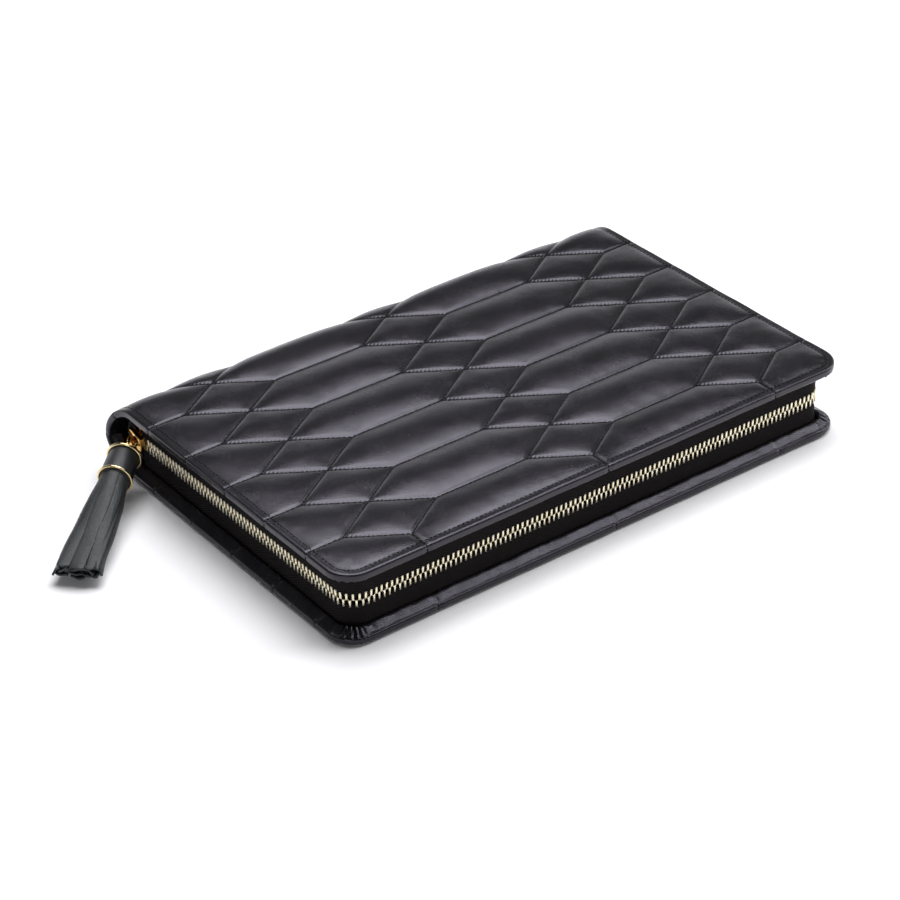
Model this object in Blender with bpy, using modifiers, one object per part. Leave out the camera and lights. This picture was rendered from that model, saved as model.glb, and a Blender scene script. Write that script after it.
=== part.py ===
"""Zip-around leather jewellery case: padded base, lid and folding spine, zip, slider and tassel.

Metres, +Z up. X runs along the spine, the front faces -Y, and the origin is the middle of the
base panel's underside. The case is shut and zipped, and its tassel lies on the surface beside it.
"""
import math

import bpy
import bmesh
from mathutils import Matrix, Vector

MM = 0.001
GAP = 0.3 * MM
WELD = 1e-6

# Driving dimensions of the case
WIDTH = 260 * MM
FRONT_Y = -82.4 * MM
BACK_Y = 90.0 * MM
HEIGHT = 34.2 * MM
COVER_T = 4.2 * MM
CORNER_R = 12.0 * MM
RIM_W = 8.0 * MM
ROUND_EDGE = 1.5 * MM

# Spine: a half-round shell whose length of leather is kept when it is laid flat
SPINE_R = HEIGHT / 2
SPINE_Y = BACK_Y - SPINE_R
FOLD_IN = SPINE_R * (1 - math.pi / 4)
FOLD_Y = BACK_Y - FOLD_IN
FOLD_GAP_DEG = 0.6
BACK_LAP = 6 * MM
BOARD_BACK_Y = SPINE_Y - 4 * MM
BOARD_R = 5 * MM

# Layers inside each cover, from the outer leather inwards
SKIN_T = 1.4 * MM
WADDING_T = 0.9 * MM
LINING_T = 0.7 * MM
SPINE_WAD_INSET = 4 * MM

# Zip, set in from the edge of the covers
TAPE_INSET = 6.0 * MM
TAPE_T = 0.9 * MM
TAPE_END_Y = 74.0 * MM
TAPE_CORNER_R = 9.0 * MM
TAPE_FOOT_Z = COVER_T + 0.4 * MM
CHAIN_W = 6.0 * MM
TEETH_T = 1.6 * MM
TEETH_END_Y = 71.0 * MM
STOP_L = 2.0 * MM

# Slider, pull link and tassel
SLIDER_SIZE = (6.4 * MM, 11.0 * MM, 9.6 * MM)
SLIDER_Y = 77.0 * MM
SLIDER_SLOT = 2.2 * MM
SLIDER_EDGE = 0.8 * MM
POST_HALF = 2.2 * MM
POST_L = 3.0 * MM
CROWN_OUT = 2.8 * MM
CROWN_L = 6.6 * MM
CROWN_H = 2.2 * MM
CROWN_STRAP = 1.1 * MM
CROWN_LAP = 0.6 * MM
LINK_REACH = 6.5 * MM
LINK_RISE = 2.3 * MM
LINK_WIRE_R = 0.55 * MM
TASSEL_HEADING = math.radians(222.5)
TASSEL_DROP = math.radians(8.3)
CAP_START = 4.0 * MM
CAP_LENGTH = 15.4 * MM
CAP_R = 6.6 * MM
RING_WIRE_R = 0.6 * MM
EYE_R = 1.9 * MM
EYE_WIRE_R = 0.5 * MM
FRINGE_LENGTH = 56.5 * MM
FRINGE_START_R = 5.3 * MM
FRINGE_END_HALF_W = 9.2 * MM
FRINGE_END_HALF_T = 4.8 * MM

# Inside: suede-covered walls on the base, a pocket and necklace hooks on the lid
WALL_T = 2.4 * MM
WALL_H = 11.0 * MM
WALL_INSET = 10.4 * MM
WALL_BACK_Y = 67.0 * MM
WALL_ROUND = 0.7 * MM
END_DIVIDER_Y = 22 * MM
DIVIDER_X = (-38 * MM, 40 * MM)
ROLL_COUNT = 4
ROLL_PITCH = 16.6 * MM
ROLL_W = 15.8 * MM
POCKET_SIZE = (150 * MM, 62 * MM, 7.0 * MM)
POCKET_WALL = 1.2 * MM
POCKET_Y = 0.0 * MM
ELASTIC_W = 1.6 * MM
ELASTIC_T = 1.2 * MM
ELASTIC_ROUND = 0.4 * MM
BAR_T = 1.4 * MM
BAR_Y = -62 * MM
BAR_W = 12 * MM
BAR_ROUND = 0.5 * MM
HOOK_COUNT = 5
HOOK_SPREAD = 5.6
HOOK_STEM = 2.8 * MM
HOOK_BEND_R = 1.8 * MM
HOOK_WIRE_R = 0.6 * MM

LEATHER = ("black_leather", (0.020, 0.020, 0.022), 0.42, 0.0)
SUEDE = ("black_suede", (0.035, 0.033, 0.034), 0.95, 0.0)
WADDING = ("wadding", (0.70, 0.69, 0.66), 1.0, 0.0)
BOARD = ("grey_board", (0.30, 0.28, 0.25), 0.9, 0.0)
TWILL = ("zip_twill", (0.018, 0.014, 0.013), 0.85, 0.0)
GOLD = ("pale_gold_plate", (0.83, 0.66, 0.38), 0.22, 1.0)


def material(spec):
    name, colour, roughness, metallic = spec
    found = bpy.data.materials.get(name)
    if found:
        return found
    made = bpy.data.materials.new(name)
    made.use_nodes = True
    shader = made.node_tree.nodes["Principled BSDF"]
    shader.inputs["Base Color"].default_value = (*colour, 1)
    shader.inputs["Roughness"].default_value = roughness
    shader.inputs["Metallic"].default_value = metallic
    made.diffuse_color = (*colour, 1)
    return made


def own_material(name, spec):
    made = material(spec).copy()
    made.name = f"{name}_{spec[0]}"
    return made


def add_object(name, data, spec=None, folder="parts"):
    made = bpy.data.objects.new(name, data)
    folders[folder].objects.link(made)
    if spec:
        made.data.materials.append(own_material(name, spec))
    if folder == "cutters":
        made.hide_render = True
        made.display_type = 'WIRE'
    return made


def arc(cx, cy, radius, start_deg, end_deg, steps):
    turn = [math.radians(start_deg + (end_deg - start_deg) * i / steps) for i in range(steps + 1)]
    return [(cx + radius * math.cos(a), cy + radius * math.sin(a)) for a in turn]


def add_spline(curve, points, cyclic):
    spline = curve.splines.new('POLY')
    spline.points.add(len(points) - 1)
    for target, point in zip(spline.points, points):
        target.co = (*point, 1)
    spline.use_cyclic_u = cyclic


def curve_to_mesh(name, curve, place=None):
    """The curve's surface as one closed mesh, moved by place."""
    guide = bpy.data.objects.new(name + "_guide", curve)
    folders["cutters"].objects.link(guide)
    bpy.context.view_layer.update()
    mesh = bpy.data.meshes.new_from_object(guide.evaluated_get(bpy.context.evaluated_depsgraph_get()))
    bpy.data.objects.remove(guide)
    shape = bmesh.new()
    shape.from_mesh(mesh)
    bmesh.ops.remove_doubles(shape, verts=shape.verts, dist=WELD)
    if place:
        bmesh.ops.transform(shape, matrix=place, verts=shape.verts)
    bmesh.ops.recalc_face_normals(shape, faces=shape.faces)
    shape.to_mesh(mesh)
    shape.free()
    mesh.name = name
    return mesh


def outline_solid(name, points, half, place, spec=None, folder="parts"):
    """A flat outline given a thickness of 2 * half along its own Z, made a mesh and placed."""
    curve = bpy.data.curves.new(name + "_outline", 'CURVE')
    curve.dimensions = '2D'
    curve.fill_mode = 'BOTH'
    curve.extrude = half
    add_spline(curve, [(u, v, 0) for u, v in points], cyclic=True)
    return add_object(name, curve_to_mesh(name, curve, place), spec, folder)


def plan_solid(name, points, z0, z1, spec=None, folder="parts"):
    """An outline seen from above, between two heights."""
    return outline_solid(name, points, (z1 - z0) / 2, Matrix.Translation((0, 0, (z0 + z1) / 2)), spec, folder)


def side_solid(name, points, x0, x1, spec=None, folder="parts"):
    """An outline of (y, z) points seen from the end, between two places along X."""
    turn = Matrix(((0, 0, 1, (x0 + x1) / 2), (1, 0, 0, 0), (0, 1, 0, 0), (0, 0, 0, 1)))
    return outline_solid(name, points, (x1 - x0) / 2, turn, spec, folder)


def block(name, lo, hi, spec=None, folder="parts", rounding=0.0):
    mesh = bpy.data.meshes.new(name)
    shape = bmesh.new()
    bmesh.ops.create_cube(shape, size=1)
    bmesh.ops.scale(shape, vec=[b - a for a, b in zip(lo, hi)], verts=shape.verts)
    bmesh.ops.translate(shape, vec=[(a + b) / 2 for a, b in zip(lo, hi)], verts=shape.verts)
    shape.to_mesh(mesh)
    shape.free()
    made = add_object(name, mesh, spec, folder)
    if rounding:
        add_bevel(made, rounding)
    return made


def add_bevel(target, width, segments=2):
    bevel = target.modifiers.new("rounded_edges", 'BEVEL')
    bevel.width = width
    bevel.segments = segments
    bevel.limit_method = 'ANGLE'
    bevel.angle_limit = math.radians(50)


def boolean(target, tool, operation):
    cut = target.modifiers.new(tool.name, 'BOOLEAN')
    cut.operation = operation
    cut.object = tool


def smooth(target, angle=35):
    target.data.shade_smooth()
    target.data.set_sharp_from_angle(angle=math.radians(angle))


def height(z, upper):
    """A height on the base, or the same place mirrored up onto the lid."""
    return HEIGHT - z if upper else z


def panel_outline(inset, back_y, radius):
    """The cover's plan: square at the spine, rounded at the two front corners."""
    half, front, r = WIDTH / 2 - inset, FRONT_Y + inset, radius
    return ([(half, back_y), (-half, back_y)] + arc(-half + r, front + r, r, 180, 270, 6)
            + arc(half - r, front + r, r, 270, 360, 6))


def band_outline(inset, thickness, back_y, radius):
    """An open U seen from above, along both sides and the front."""
    half, front, r = WIDTH / 2 - inset, FRONT_Y + inset, radius
    outer = ([(-half, back_y)] + arc(-half + r, front + r, r, 180, 270, 6)
             + arc(half - r, front + r, r, 270, 360, 6) + [(half, back_y)])
    inner_r = r - thickness
    inner = ([(half - thickness, back_y)] + arc(half - r, front + r, inner_r, 360, 270, 6)
             + arc(-half + r, front + r, inner_r, 270, 180, 6) + [(-half + thickness, back_y)])
    return outer + inner


def spine_sector(depth0, depth1, from_deg, to_deg, steps, upper=False):
    """(y, z) outline of a slice of the half-round spine; 0 degrees is its lowest point."""
    def curve(depth, start, end):
        ring = arc(SPINE_Y, SPINE_R, SPINE_R - depth, start - 90, end - 90, steps)
        return [(y, height(z, upper)) for y, z in ring]
    return curve(depth0, from_deg, to_deg) + curve(depth1, to_deg, from_deg)


def levels(z0, z1, upper):
    low, high = sorted((height(z0, upper), height(z1, upper)))
    return low, high


def make_cover(prefix, upper):
    """Outer leather of one half, hollowed for its wadding and board, with a quarter of the spine."""
    z0, z1 = levels(0, COVER_T, upper)
    leather = plan_solid(prefix + "_leather", panel_outline(0, SPINE_Y, CORNER_R), z0, z1, LEATHER)
    add_bevel(leather, ROUND_EDGE)
    turn = spine_sector(0, COVER_T, 0, 45 - FOLD_GAP_DEG, 6, upper)
    lap = SPINE_Y - BACK_LAP
    turn = [(lap, height(0, upper))] + turn + [(lap, height(COVER_T, upper))]
    back = side_solid(prefix + "_back_turn", turn, -WIDTH / 2, WIDTH / 2, folder="cutters")
    boolean(leather, back, 'UNION')
    recess_z = levels(SKIN_T, COVER_T + 2 * MM, upper)
    hollow = plan_solid(prefix + "_hollow", panel_outline(RIM_W, BOARD_BACK_Y, BOARD_R), *recess_z,
                        folder="cutters")
    boolean(leather, hollow, 'DIFFERENCE')

    inner = panel_outline(RIM_W + GAP, BOARD_BACK_Y - GAP, BOARD_R)
    wad0 = SKIN_T + GAP
    wadding = plan_solid(prefix + "_wadding", inner, *levels(wad0, wad0 + WADDING_T, upper), WADDING)
    board = plan_solid(prefix + "_board", inner, *levels(wad0 + WADDING_T + GAP, COVER_T, upper), BOARD)
    in0, in1 = COVER_T + GAP, COVER_T + GAP + LINING_T
    sheet = [(FRONT_Y + RIM_W, height(in0, upper)), (FRONT_Y + RIM_W, height(in1, upper))]
    bend = spine_sector(in1, in0, 0, 45 - FOLD_GAP_DEG, 5, upper)
    lining = side_solid(prefix + "_lining", sheet + bend, -WIDTH / 2 + RIM_W, WIDTH / 2 - RIM_W, SUEDE)
    plan = plan_solid(prefix + "_lining_plan", panel_outline(RIM_W, BACK_Y, TAPE_CORNER_R),
                      *levels(0, HEIGHT / 2, upper), folder="cutters")
    boolean(lining, plan, 'INTERSECT')
    return [leather, wadding, board, lining]


def make_spine():
    start, end = 45 + FOLD_GAP_DEG, 135 - FOLD_GAP_DEG
    layers = (("spine_leather", 0, SKIN_T, WIDTH / 2, LEATHER),
              ("spine_wadding", SKIN_T + GAP, COVER_T - GAP, WIDTH / 2 - SPINE_WAD_INSET, WADDING),
              ("spine_lining", COVER_T, COVER_T + LINING_T, WIDTH / 2 - RIM_W, SUEDE))
    made = []
    for name, outer, inner, half, spec in layers:
        made.append(side_solid(name, spine_sector(outer, inner, start, end, 12), -half, half, spec))
        smooth(made[-1])
    return made


def make_zip(side, upper):
    """One side of the zip: its tape, its row of teeth, and the stop at each end of the row."""
    middle = HEIGHT / 2
    tape_edge = middle - CHAIN_W / 2 - GAP
    tape = plan_solid(f"zip_tape_{side}", band_outline(TAPE_INSET, TAPE_T, TAPE_END_Y, TAPE_CORNER_R),
                      *levels(TAPE_FOOT_Z, tape_edge, upper), TWILL)
    shift = (TEETH_T - TAPE_T) / 2
    row = band_outline(TAPE_INSET - shift, TEETH_T, TEETH_END_Y, TAPE_CORNER_R + shift)
    row_z = levels(tape_edge + GAP, middle - GAP / 2, upper)
    made = [tape, plan_solid(f"zip_teeth_{side}", row, *row_z, GOLD)]
    outer_x = WIDTH / 2 - TAPE_INSET + shift
    for end, x in (("left", -outer_x), ("right", outer_x - TEETH_T)):
        y0 = TEETH_END_Y + GAP
        made.append(block(f"zip_stop_{end}_{side}", (x, y0, row_z[0]),
                          (x + TEETH_T, y0 + STOP_L, row_z[1]), GOLD))
    return made


def make_slider():
    """Two plates joined by a post behind the teeth, with an arched crown on the outer plate."""
    depth, length, tall = SLIDER_SIZE
    x, y, z = -WIDTH / 2 + TAPE_INSET + TAPE_T / 2, SLIDER_Y, HEIGHT / 2
    slider = block("zip_slider", (x - depth / 2, y - length / 2, z - tall / 2),
                   (x + depth / 2, y + length / 2, z + tall / 2), GOLD, rounding=SLIDER_EDGE)
    slot_x = (x - SLIDER_SLOT / 2, x + SLIDER_SLOT / 2)
    cuts = (("slider_throat", y - length, y + length / 2 - POST_L, z - tall, z + tall),
            ("slider_slot_low", y - length, y + length, z - tall, z - POST_HALF),
            ("slider_slot_high", y - length, y + length, z + POST_HALF, z + tall))
    for name, y0, y1, z0, z1 in cuts:
        boolean(slider, block(name, (slot_x[0], y0, z0), (slot_x[1], y1, z1), folder="cutters"), 'DIFFERENCE')
    outer = x - depth / 2
    crown = block("slider_crown", (outer - CROWN_OUT, y - CROWN_L / 2, z - CROWN_H / 2),
                  (outer + CROWN_LAP, y + CROWN_L / 2, z + CROWN_H / 2), folder="cutters")
    eye = block("slider_eye", (outer - CROWN_OUT + CROWN_STRAP, y - CROWN_L / 2 + CROWN_STRAP, z - tall),
                (outer, y + CROWN_L / 2 - CROWN_STRAP, z + tall), folder="cutters")
    boolean(slider, crown, 'UNION')
    boolean(slider, eye, 'DIFFERENCE')
    pivot = Vector((outer - (CROWN_OUT - CROWN_STRAP) / 2, y, z))
    return slider, pivot


def wire_loop(name, points, radius, spec, cyclic=True):
    """A round wire bent through the points, as a closed mesh."""
    curve = bpy.data.curves.new(name + "_path", 'CURVE')
    curve.dimensions = '3D'
    curve.bevel_depth = radius
    curve.bevel_resolution = 2
    curve.use_fill_caps = not cyclic
    add_spline(curve, points, cyclic)
    made = add_object(name, curve_to_mesh(name, curve), spec)
    smooth(made, 60)
    return made


def make_link(pivot):
    """A long gold loop through the slider's crown, standing on edge and pointing at the tassel."""
    profile = [(0, -LINK_RISE), (0, LINK_RISE)] + arc(LINK_REACH - LINK_RISE, 0, LINK_RISE, 90, -90, 8)
    along = Vector((math.cos(TASSEL_HEADING), math.sin(TASSEL_HEADING), 0))
    points = [pivot + along * u + Vector((0, 0, v)) for u, v in profile]
    return wire_loop("pull_link", points, LINK_WIRE_R, GOLD)


def cylinder(name, radius0, radius1, s0, s1, spec, segments=24):
    """A round solid along the tassel's own Z, between two distances from its pivot."""
    mesh = bpy.data.meshes.new(name)
    shape = bmesh.new()
    bmesh.ops.create_cone(shape, cap_ends=True, segments=segments, radius1=radius0, radius2=radius1,
                          depth=s1 - s0)
    bmesh.ops.translate(shape, vec=(0, 0, (s0 + s1) / 2), verts=shape.verts)
    shape.to_mesh(mesh)
    shape.free()
    made = add_object(name, mesh, spec)
    smooth(made)
    return made


def make_tassel():
    """Built along local +Z from the pivot; local Y is the way its thickness runs."""
    cap_end = CAP_START + CAP_LENGTH
    ring_r = CAP_R + GAP + RING_WIRE_R
    made = [cylinder("tassel_cap", CAP_R, CAP_R, CAP_START, cap_end, LEATHER)]
    ring_places = (("tassel_top_ring", CAP_START + RING_WIRE_R), ("tassel_lower_ring", cap_end - RING_WIRE_R))
    for name, s in ring_places:
        circle = [(u, v, s) for u, v in arc(0, 0, ring_r, 0, 345, 23)]
        made.append(wire_loop(name, circle, RING_WIRE_R, GOLD))
    foot = CAP_START - GAP
    loop = [(-EYE_R, 0, foot)] + [(u, 0, v) for u, v in arc(0, 0, EYE_R, 180, 360, 10)] + [(EYE_R, 0, foot)]
    made.append(wire_loop("tassel_eye", loop, EYE_WIRE_R, GOLD, cyclic=False))
    fringe = cylinder("tassel_fringe", FRINGE_START_R, FRINGE_END_HALF_W, cap_end + GAP,
                      cap_end + GAP + FRINGE_LENGTH, LEATHER, segments=28)
    flat = FRINGE_END_HALF_T / FRINGE_END_HALF_W
    for point in fringe.data.vertices:
        if point.co.z > cap_end + FRINGE_LENGTH / 2:
            point.co.y *= flat
    made.append(fringe)
    return made


def make_tray():
    """Suede-covered walls and dividers that stand on the base lining, and the ring rolls."""
    floor = COVER_T + GAP + LINING_T + GAP
    top = floor + WALL_H
    x1, y0, y1 = WIDTH / 2 - WALL_INSET, FRONT_Y + WALL_INSET, WALL_BACK_Y
    inner_x = x1 - WALL_T - GAP
    spans = {
        "tray_wall_left": ((-x1, y0), (-x1 + WALL_T, y1)),
        "tray_wall_right": ((x1 - WALL_T, y0), (x1, y1)),
        "tray_wall_front": ((-inner_x, y0), (inner_x, y0 + WALL_T)),
        "tray_wall_back": ((-inner_x, y1 - WALL_T), (inner_x, y1)),
    }
    in_y0, in_y1 = y0 + WALL_T + GAP, y1 - WALL_T - GAP
    for name, x in zip(("tray_divider_left", "tray_divider_right"), DIVIDER_X):
        spans[name] = ((x - WALL_T / 2, in_y0), (x + WALL_T / 2, in_y1))
    edge = WALL_T / 2 + GAP
    left_x, right_x = DIVIDER_X
    rolls_end = in_y0 + ROLL_COUNT * ROLL_PITCH
    spans["tray_divider_rings"] = ((-inner_x, rolls_end), (left_x - edge, rolls_end + WALL_T))
    spans["tray_divider_middle"] = ((left_x + edge, -WALL_T / 2), (right_x - edge, WALL_T / 2))
    spans["tray_divider_end"] = ((right_x + edge, END_DIVIDER_Y), (inner_x, END_DIVIDER_Y + WALL_T))
    made = [block(name, (*lo, floor), (*hi, top), SUEDE, rounding=WALL_ROUND)
            for name, (lo, hi) in spans.items()]
    radius = ROLL_W / 2
    for i in range(ROLL_COUNT):
        y = in_y0 + ROLL_PITCH * (i + 0.5) - GAP
        profile = ([(y - radius, floor)] + [(y + radius, floor)]
                   + arc(y, top - radius, radius, 0, 180, 12))
        roll = side_solid(f"ring_roll_{i + 1}", profile, -inner_x + GAP, left_x - edge - GAP, SUEDE)
        smooth(roll)
        made.append(roll)
    return made


def make_lid_fittings():
    """A pocket with its elastic and a bar of necklace hooks; both open upwards when the lid stands."""
    ceiling = HEIGHT - COVER_T - GAP - LINING_T - GAP
    width, tall, deep = POCKET_SIZE
    y0 = POCKET_Y
    pocket = block("lid_pocket", (-width / 2, y0, ceiling - deep), (width / 2, y0 + tall, ceiling), SUEDE)
    w = POCKET_WALL
    inside = block("pocket_inside", (-width / 2 + w, y0 - w, ceiling - deep + w),
                   (width / 2 - w, y0 + tall - w, ceiling + w), folder="cutters")
    boolean(pocket, inside, 'DIFFERENCE')
    elastic = block("pocket_elastic", (-width / 2, y0 - GAP - ELASTIC_T, ceiling - deep),
                    (width / 2, y0 - GAP, ceiling - deep + ELASTIC_W), TWILL, rounding=ELASTIC_ROUND)
    bar = block("necklace_bar", (-width / 2, BAR_Y, ceiling - BAR_T), (width / 2, BAR_Y + BAR_W, ceiling),
                LEATHER, rounding=BAR_ROUND)
    made = [pocket, elastic, bar]
    hook_y = BAR_Y + BAR_W / 2
    hang = ceiling - BAR_T - GAP
    for i in range(HOOK_COUNT):
        x = (i - (HOOK_COUNT - 1) / 2) * width / HOOK_SPREAD
        points = [(x, hook_y, hang)]
        points += [(x, hook_y - v, hang - HOOK_STEM + u)
                   for v, u in arc(HOOK_BEND_R, 0, HOOK_BEND_R, 180, 345, 9)]
        made.append(wire_loop(f"necklace_hook_{i + 1}", points, HOOK_WIRE_R, GOLD, cyclic=False))
    return made


def joint_axis(name, place, parent=None):
    empty = bpy.data.objects.new(name, None)
    empty.empty_display_size = 0.01
    folders["parts"].objects.link(empty)
    empty.matrix_world = place if isinstance(place, Matrix) else Matrix.Translation(place)
    if parent:
        attach([empty], parent)
    return empty


def attach(children, parent):
    bpy.context.view_layer.update()
    for child in children:
        child.parent = parent
        child.matrix_parent_inverse = parent.matrix_world.inverted()


def main():
    for old in list(bpy.data.objects):
        bpy.data.objects.remove(old, do_unlink=True)
    for key, name in (("parts", "leather_jewellery_case"), ("cutters", "cutters")):
        folders[key] = bpy.data.collections.new(name)
        bpy.context.scene.collection.children.link(folders[key])

    make_cover("base", upper=False)
    make_zip("lower", upper=False)
    make_tray()

    spine_axis = joint_axis("spine_fold_axis", (0, FOLD_Y, FOLD_IN))
    lid_axis = joint_axis("lid_fold_axis", (0, FOLD_Y, HEIGHT - FOLD_IN), spine_axis)
    attach(make_spine(), spine_axis)
    attach(make_cover("lid", upper=True) + make_zip("upper", upper=True) + make_lid_fittings(), lid_axis)

    slider, pivot = make_slider()
    slider_axis = joint_axis("slider_axis", (pivot.x, SLIDER_Y, HEIGHT / 2))
    attach([slider], slider_axis)
    link_axis = joint_axis("link_axis", pivot, slider_axis)
    attach([make_link(pivot)], link_axis)

    level = Vector((math.cos(TASSEL_HEADING), math.sin(TASSEL_HEADING), 0))
    down = level * math.cos(TASSEL_DROP) - Vector((0, 0, math.sin(TASSEL_DROP)))
    frame = Matrix.Translation(pivot + level * LINK_REACH) @ down.to_track_quat('Z', 'Y').to_matrix().to_4x4()
    tassel_axis = joint_axis("tassel_axis", frame, link_axis)
    for piece in make_tassel():
        piece.parent = tassel_axis


folders = {}
main()
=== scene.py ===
import bmesh
import bpy
import math
import numpy as np
from mathutils import Matrix, Vector, noise


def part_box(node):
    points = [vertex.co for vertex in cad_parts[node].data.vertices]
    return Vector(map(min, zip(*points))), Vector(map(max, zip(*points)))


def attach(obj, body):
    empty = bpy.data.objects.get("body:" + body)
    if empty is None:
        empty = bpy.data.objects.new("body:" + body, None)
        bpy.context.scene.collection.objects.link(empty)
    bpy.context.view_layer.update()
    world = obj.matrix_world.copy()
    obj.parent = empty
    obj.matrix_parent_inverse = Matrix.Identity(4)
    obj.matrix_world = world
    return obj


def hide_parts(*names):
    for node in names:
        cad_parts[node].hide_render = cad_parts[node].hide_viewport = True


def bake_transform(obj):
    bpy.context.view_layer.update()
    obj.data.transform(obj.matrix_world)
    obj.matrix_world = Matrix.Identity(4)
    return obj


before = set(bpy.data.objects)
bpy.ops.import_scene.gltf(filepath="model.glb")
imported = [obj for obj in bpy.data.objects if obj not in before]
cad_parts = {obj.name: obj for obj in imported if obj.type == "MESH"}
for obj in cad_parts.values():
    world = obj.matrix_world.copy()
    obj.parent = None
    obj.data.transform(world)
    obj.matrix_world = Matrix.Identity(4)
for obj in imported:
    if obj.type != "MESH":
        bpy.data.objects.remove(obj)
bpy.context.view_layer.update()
mm = 0.001


# small helpers used by every piece

def toLinear(hexColour):
    # sRGB hex to the linear values that a shader takes
    values = [int(hexColour[i:i + 2], 16) / 255 for i in (1, 3, 5)]
    return [v / 12.92 if v <= 0.04045 else ((v + 0.055) / 1.055) ** 2.4 for v in values] + [1.0]


def addNode(tree, kind, settings=None, inputs=None):
    node = tree.nodes.new(kind)
    for name, value in (settings or {}).items():
        setattr(node, name, value)
    for name, value in (inputs or {}).items():
        if isinstance(value, bpy.types.NodeSocket):
            tree.links.new(value, node.inputs[name])
        else:
            node.inputs[name].default_value = value
    return node


def startMaterial(name, roughness, metallic=0.0, **sockets):
    # a Principled material; returns it with its tree and its shader
    made = bpy.data.materials.new(name)
    made.use_nodes = True
    tree = made.node_tree
    shader = tree.nodes["Principled BSDF"]
    shader.inputs["Roughness"].default_value = roughness
    shader.inputs["Metallic"].default_value = metallic
    for socket, value in sockets.items():
        shader.inputs[socket.replace("_", " ")].default_value = value
    return made, tree, shader


def linkShader(tree, shader, **sockets):
    for name, source in sockets.items():
        tree.links.new(source, shader.inputs[name.replace("_", " ")])


def rampStops(node, stops):
    # sets a colour ramp from (position, hex colour) pairs
    elements = node.color_ramp.elements
    while len(elements) > len(stops):
        elements.remove(elements[-1])
    while len(elements) < len(stops):
        elements.new(0.5)
    for element, (position, colour) in zip(elements, stops):
        element.position = position
        element.color = toLinear(colour)


def addPiece(name, bm, material, smoothAngle=None):
    # turns a bmesh into a finished piece at the origin
    mesh = bpy.data.meshes.new(name)
    bm.to_mesh(mesh)
    bm.free()
    piece = bpy.data.objects.new(name, mesh)
    bpy.context.scene.collection.objects.link(piece)
    mesh.materials.append(material)
    mesh.shade_smooth()
    if smoothAngle is not None:
        mesh.set_sharp_from_angle(angle=math.radians(smoothAngle))
    return piece


def addModifier(piece, kind, **settings):
    modifier = piece.modifiers.new(kind.title(), kind)
    for name, value in settings.items():
        setattr(modifier, name, value)
    return modifier


def mappedGrid(us, vs, place):
    # a grid whose columns and rows stand at us and vs, put in place by place(); its UV map is u, v in metres
    bm = bmesh.new()
    bmesh.ops.create_grid(bm, x_segments=len(us) - 1, y_segments=len(vs) - 1, size=1)
    column = [round((v.co.x + 1) / 2 * (len(us) - 1)) for v in bm.verts]
    row = [round((v.co.y + 1) / 2 * (len(vs) - 1)) for v in bm.verts]
    points = place(us[column], vs[row], column, row)
    uvLayer = bm.loops.layers.uv.new("UVMap")
    bm.verts.index_update()
    for vert, point in zip(bm.verts, points):
        vert.co = Vector(point) * mm
    for face in bm.faces:
        for loop in face.loops:
            index = loop.vert.index
            loop[uvLayer].uv = (us[column[index]] * mm, vs[row[index]] * mm)
    return bm, column, row


def toMesh(bm):
    mesh = bpy.data.meshes.new("part")
    bm.to_mesh(mesh)
    bm.free()
    return mesh


def scatter(bm, mesh, matrices):
    # adds copies of a small mesh at many places
    for matrix in matrices:
        known = len(bm.verts)
        bm.from_mesh(mesh)
        bm.verts.ensure_lookup_table()
        bmesh.ops.transform(bm, matrix=matrix, verts=bm.verts[known:])
    bpy.data.meshes.remove(mesh)


def turned(profile, steps):
    # a profile of (radius, height) spun round Z
    bm = bmesh.new()
    verts = [bm.verts.new((r, 0, h)) for r, h in profile]
    edges = [bm.edges.new(pair) for pair in zip(verts, verts[1:])]
    bmesh.ops.spin(bm, geom=verts + edges, cent=(0, 0, 0), axis=(0, 0, 1), dvec=(0, 0, 0),
                   angle=2 * math.pi, steps=steps, use_merge=True)
    bmesh.ops.remove_doubles(bm, verts=bm.verts, dist=1e-6)
    bmesh.ops.recalc_face_normals(bm, faces=bm.faces)
    return bm


def tubeAlong(points, radius, closed, around=12, flat=1.0, side=None):
    # a round or flattened tube on a path: a grid wrapped round it and merged along its seam, in mm
    points = [Vector(p) for p in points]
    count = len(points)
    tangents = []
    for k in range(count):
        before = points[k - 1] if closed or k else points[k]
        after = points[(k + 1) % count] if closed or k < count - 1 else points[k]
        tangents.append((after - before).normalized())
    across = Vector(side) if side else tangents[0].orthogonal()
    sides = []
    for tangent in tangents:
        across = (across - tangent * across.dot(tangent)).normalized()
        sides.append(across)

    def place(u, v, column, row):
        ring = []
        for angle, index in zip(u, row):
            k = index % count
            up = tangents[k].cross(sides[k])
            ring.append(points[k] + (sides[k] * math.cos(angle) + up * math.sin(angle) * flat) * radius)
        return np.array(ring)

    rows = np.arange(count + 1 if closed else count) * 1.0
    bm, column, row = mappedGrid(np.linspace(0, 2 * math.pi, around + 1), rows, place)
    bmesh.ops.scale(bm, vec=(1 / mm, 1 / mm, 1 / mm), verts=bm.verts)
    bmesh.ops.remove_doubles(bm, verts=bm.verts, dist=1e-4)
    if not closed:
        bmesh.ops.holes_fill(bm, edges=[e for e in bm.edges if e.is_boundary])
    bmesh.ops.recalc_face_normals(bm, faces=bm.faces)
    return bm


def smoothStep(x, low, high):
    t = np.clip((x - low) / (high - low), 0, 1)
    return t * t * (3 - 2 * t)


def softNoise(points, size, seed=0.0):
    # smooth noise, about -1 to 1, with lumps of this size; points in mm
    offset = Vector((seed * 17.3, seed * 5.1, seed * 9.7))
    return np.array([noise.noise(Vector(p) / size + offset) for p in points])


# camera and studio; places in metres

camera = {
    "place": (-0.57377, -0.76550, 0.60873),
    "azimuth": -35.949,
    "elevation": 32.439,
    "roll": -1.513,
    "lens": 106.2,
}


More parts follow.
